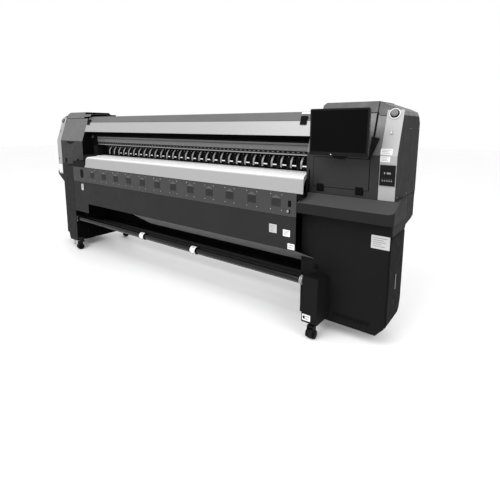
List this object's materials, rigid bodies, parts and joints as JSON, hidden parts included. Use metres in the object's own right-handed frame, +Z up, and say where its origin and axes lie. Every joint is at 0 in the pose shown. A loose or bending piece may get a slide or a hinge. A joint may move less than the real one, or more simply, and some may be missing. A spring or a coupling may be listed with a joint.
{
  "type": "wide-format roll-to-roll inkjet printer",
  "caption": "Grand-format roll-to-roll printer: gantry between two towers, sliding print carriage, curved platen, pinch rollers, drying fans, take-up and supply rolls, hinged hoods.",
  "frame": {"origin": "on the floor, below the middle of the whole machine", "axes": "+X along the machine towards the tower with the monitor, +Y towards the back, +Z up"},
  "size_m": [4.77, 0.89, 1.818],
  "materials": {
    "frame_paint": "satin black powder coat",
    "light_grey_paint": "satin grey powder coat",
    "dark_grey_paint": "textured dark grey powder coat",
    "black_paint": "satin black powder coat",
    "fascia_grey": "satin dark grey paint",
    "silver_panel": "brushed silver trim",
    "white_panel": "gloss light platen",
    "aluminium": "extruded, clear anodised",
    "steel": "ground steel",
    "rubber": "matt",
    "black_plastic": "fine texture",
    "gloss_black": "gloss",
    "grey_plastic": "moulded",
    "white_plastic": "moulded",
    "light_lever": "die cast"
  },
  "bodies": {
    "machine": {"back_panels": "dark_grey_paint", "base_frame": "frame_paint", "cabinet_casings": "black_paint", "control_panel": "gloss_black", "desk_shelf": "dark_grey_paint", "drive_belt": "rubber", "drive_motor": "black_plastic", "drying_fans": "black_plastic", "fascia_lip": "light_grey_paint", "fascia_lower": "fascia_grey", "fascia_upper": "fascia_grey", "feed_table_and_bearings": "black_paint", "left_leg": "dark_grey_paint", "levelling_feet": "steel", "monitor_arm": "black_paint", "panel_hinges": "black_plastic", "platen": "white_panel", "rail_and_encoder": "steel", "rail_beam": "aluminium", "rear_unwinder_stands": "frame_paint", "right_cabinet_front": "black_paint", "silver_strips": "silver_panel", "skirt_casings": "dark_grey_paint", "stop_button_rings": "white_plastic", "take_up_gearbox": "black_paint", "top_cover": "light_grey_paint", "tower_decks_and_stations": "black_paint", "tower_end_caps": "light_grey_paint", "tower_fronts": "dark_grey_paint", "tower_walls": "light_grey_paint"},
    "carriage": {"carriage_body": "dark_grey_paint", "print_heads": "steel", "bearing_blocks": "steel"},
    "belt_idler": {"idler_pulley": "aluminium"},
    "belt_drive": {"drive_pulley": "aluminium"},
    "grit_feed": {"grit_roller": "steel"},
    "pinch_lift": {"pinch_levers": "light_lever"},
    "pinch_wheels": {"pinch_rollers": "rubber"},
    "window_cover": {"front_cover": "silver_panel"},
    "hood_right": {"right_hood": "light_grey_paint"},
    "hood_left": {"left_hood": "light_grey_paint"},
    "service_door": {"access_door": "dark_grey_paint"},
    "display": {"monitor": "gloss_black"},
    "stop_right": {"right_stop_button": "grey_plastic"},
    "stop_left": {"left_stop_button": "grey_plastic"},
    "key": {"key_switch": "steel"},
    "take_up": {"take_up_tube": "black_paint", "take_up_collars": "white_plastic"},
    "dancer": {"dancer_bar": "black_paint"},
    "supply": {"supply_roll_shaft": "aluminium"},
    "swivel_front_right": {"caster_fork_front_right": "frame_paint"},
    "wheel_front_right": {"caster_wheel_front_right": "rubber"},
    "swivel_front_left": {"caster_fork_front_left": "frame_paint"},
    "wheel_front_left": {"caster_wheel_front_left": "rubber"},
    "rear_wheels": {"rear_caster_wheels": "rubber"},
    "button_1": {"panel_button_1": "grey_plastic"},
    "button_2": {"panel_button_2": "grey_plastic"},
    "button_3": {"panel_button_3": "grey_plastic"},
    "button_4": {"panel_button_4": "grey_plastic"},
    "button_5": {"panel_button_5": "grey_plastic"}
  },
  "joints": [
    {"name": "carriage_slide", "type": "slide", "parent": "machine", "child": "carriage", "axis": [-1, 0, 0], "range_m": [0, 3.34]},
    {"name": "idler_spin", "type": "hinge", "parent": "machine", "child": "belt_idler", "pos_m": [-1.65, -0.06, 1.489], "axis": [0, 1, 0], "continuous": true},
    {"name": "drive_spin", "type": "hinge", "parent": "machine", "child": "belt_drive", "pos_m": [2.262, -0.06, 1.489], "axis": [0, 1, 0], "continuous": true},
    {"name": "grit_spin", "type": "hinge", "parent": "machine", "child": "grit_feed", "pos_m": [0, -0.045, 1.239], "axis": [1, 0, 0], "continuous": true},
    {"name": "pinch_lift_hinge", "type": "hinge", "parent": "machine", "child": "pinch_lift", "pos_m": [0, -0.008, 1.364], "axis": [-1, 0, 0], "range_deg": [0, 6]},
    {"name": "pinch_spin", "type": "hinge", "parent": "pinch_lift", "child": "pinch_wheels", "pos_m": [0, -0.045, 1.2714], "axis": [1, 0, 0], "continuous": true},
    {"name": "window_cover_hinge", "type": "hinge", "parent": "machine", "child": "window_cover", "pos_m": [0, -0.11478, 1.68063], "axis": [-1, 0, 0], "range_deg": [0, 95]},
    {"name": "hood_right_hinge", "type": "hinge", "parent": "machine", "child": "hood_right", "pos_m": [0, 0.342, 1.734], "axis": [-1, 0, 0], "range_deg": [0, 75]},
    {"name": "hood_left_hinge", "type": "hinge", "parent": "machine", "child": "hood_left", "pos_m": [0, 0.342, 1.734], "axis": [-1, 0, 0], "range_deg": [0, 75]},
    {"name": "service_door_hinge", "type": "hinge", "parent": "machine", "child": "service_door", "pos_m": [0, -0.202, 1.168], "axis": [1, 0, 0], "range_deg": [0, 88]},
    {"name": "display_tilt", "type": "hinge", "parent": "machine", "child": "display", "pos_m": [0, -0.31, 1.592], "axis": [1, 0, 0], "range_deg": [-15, 20]},
    {"name": "stop_right_press", "type": "slide", "parent": "machine", "child": "stop_right", "axis": [0, 0.9446, -0.3283], "range_m": [0, 0.0045], "stiffness_N_per_m": 800},
    {"name": "stop_left_press", "type": "slide", "parent": "machine", "child": "stop_left", "axis": [0, 0.9446, -0.3283], "range_m": [0, 0.0045], "stiffness_N_per_m": 800},
    {"name": "key_turn", "type": "hinge", "parent": "machine", "child": "key", "pos_m": [2.285, -0.14364, 1.587], "axis": [0, -0.9446, 0.3283], "range_deg": [-90, 90]},
    {"name": "button_1_press", "type": "slide", "parent": "machine", "child": "button_1", "axis": [0, 1, 0], "range_m": [0, 0.0012], "stiffness_N_per_m": 300},
    {"name": "button_2_press", "type": "slide", "parent": "machine", "child": "button_2", "axis": [0, 1, 0], "range_m": [0, 0.0012], "stiffness_N_per_m": 300},
    {"name": "button_3_press", "type": "slide", "parent": "machine", "child": "button_3", "axis": [0, 1, 0], "range_m": [0, 0.0012], "stiffness_N_per_m": 300},
    {"name": "button_4_press", "type": "slide", "parent": "machine", "child": "button_4", "axis": [0, 1, 0], "range_m": [0, 0.0012], "stiffness_N_per_m": 300},
    {"name": "button_5_press", "type": "slide", "parent": "machine", "child": "button_5", "axis": [0, 1, 0], "range_m": [0, 0.0012], "stiffness_N_per_m": 300},
    {"name": "take_up_spin", "type": "hinge", "parent": "machine", "child": "take_up", "pos_m": [0, -0.31, 0.407], "axis": [1, 0, 0], "continuous": true},
    {"name": "dancer_swing", "type": "hinge", "parent": "machine", "child": "dancer", "pos_m": [0, -0.2, 0.52], "axis": [1, 0, 0], "range_deg": [-12, 35]},
    {"name": "supply_spin", "type": "hinge", "parent": "machine", "child": "supply", "pos_m": [0, 0.33, 0.655], "axis": [1, 0, 0], "continuous": true},
    {"name": "swivel_fr", "type": "hinge", "parent": "machine", "child": "swivel_front_right", "pos_m": [1.845, -0.3795, 0.12], "axis": [0, 0, 1], "continuous": true},
    {"name": "roll_fr", "type": "hinge", "parent": "swivel_front_right", "child": "wheel_front_right", "pos_m": [1.845, -0.4075, 0.0375], "axis": [1, 0, 0], "continuous": true},
    {"name": "swivel_fl", "type": "hinge", "parent": "machine", "child": "swivel_front_left", "pos_m": [-1.625, -0.32, 0.12], "axis": [0, 0, 1], "continuous": true},
    {"name": "roll_fl", "type": "hinge", "parent": "swivel_front_left", "child": "wheel_front_left", "pos_m": [-1.625, -0.348, 0.0375], "axis": [1, 0, 0], "continuous": true},
    {"name": "roll_rear", "type": "hinge", "parent": "machine", "child": "rear_wheels", "pos_m": [0, 0.372, 0.0375], "axis": [1, 0, 0], "continuous": true}
  ],
  "couplings": [
    {"joint": "idler_spin", "follows": "carriage_slide", "rad_per_m": 60.606},
    {"joint": "drive_spin", "follows": "carriage_slide", "rad_per_m": 60.606},
    {"joint": "pinch_spin", "follows": "grit_spin", "ratio": -1.2857}
  ]
}
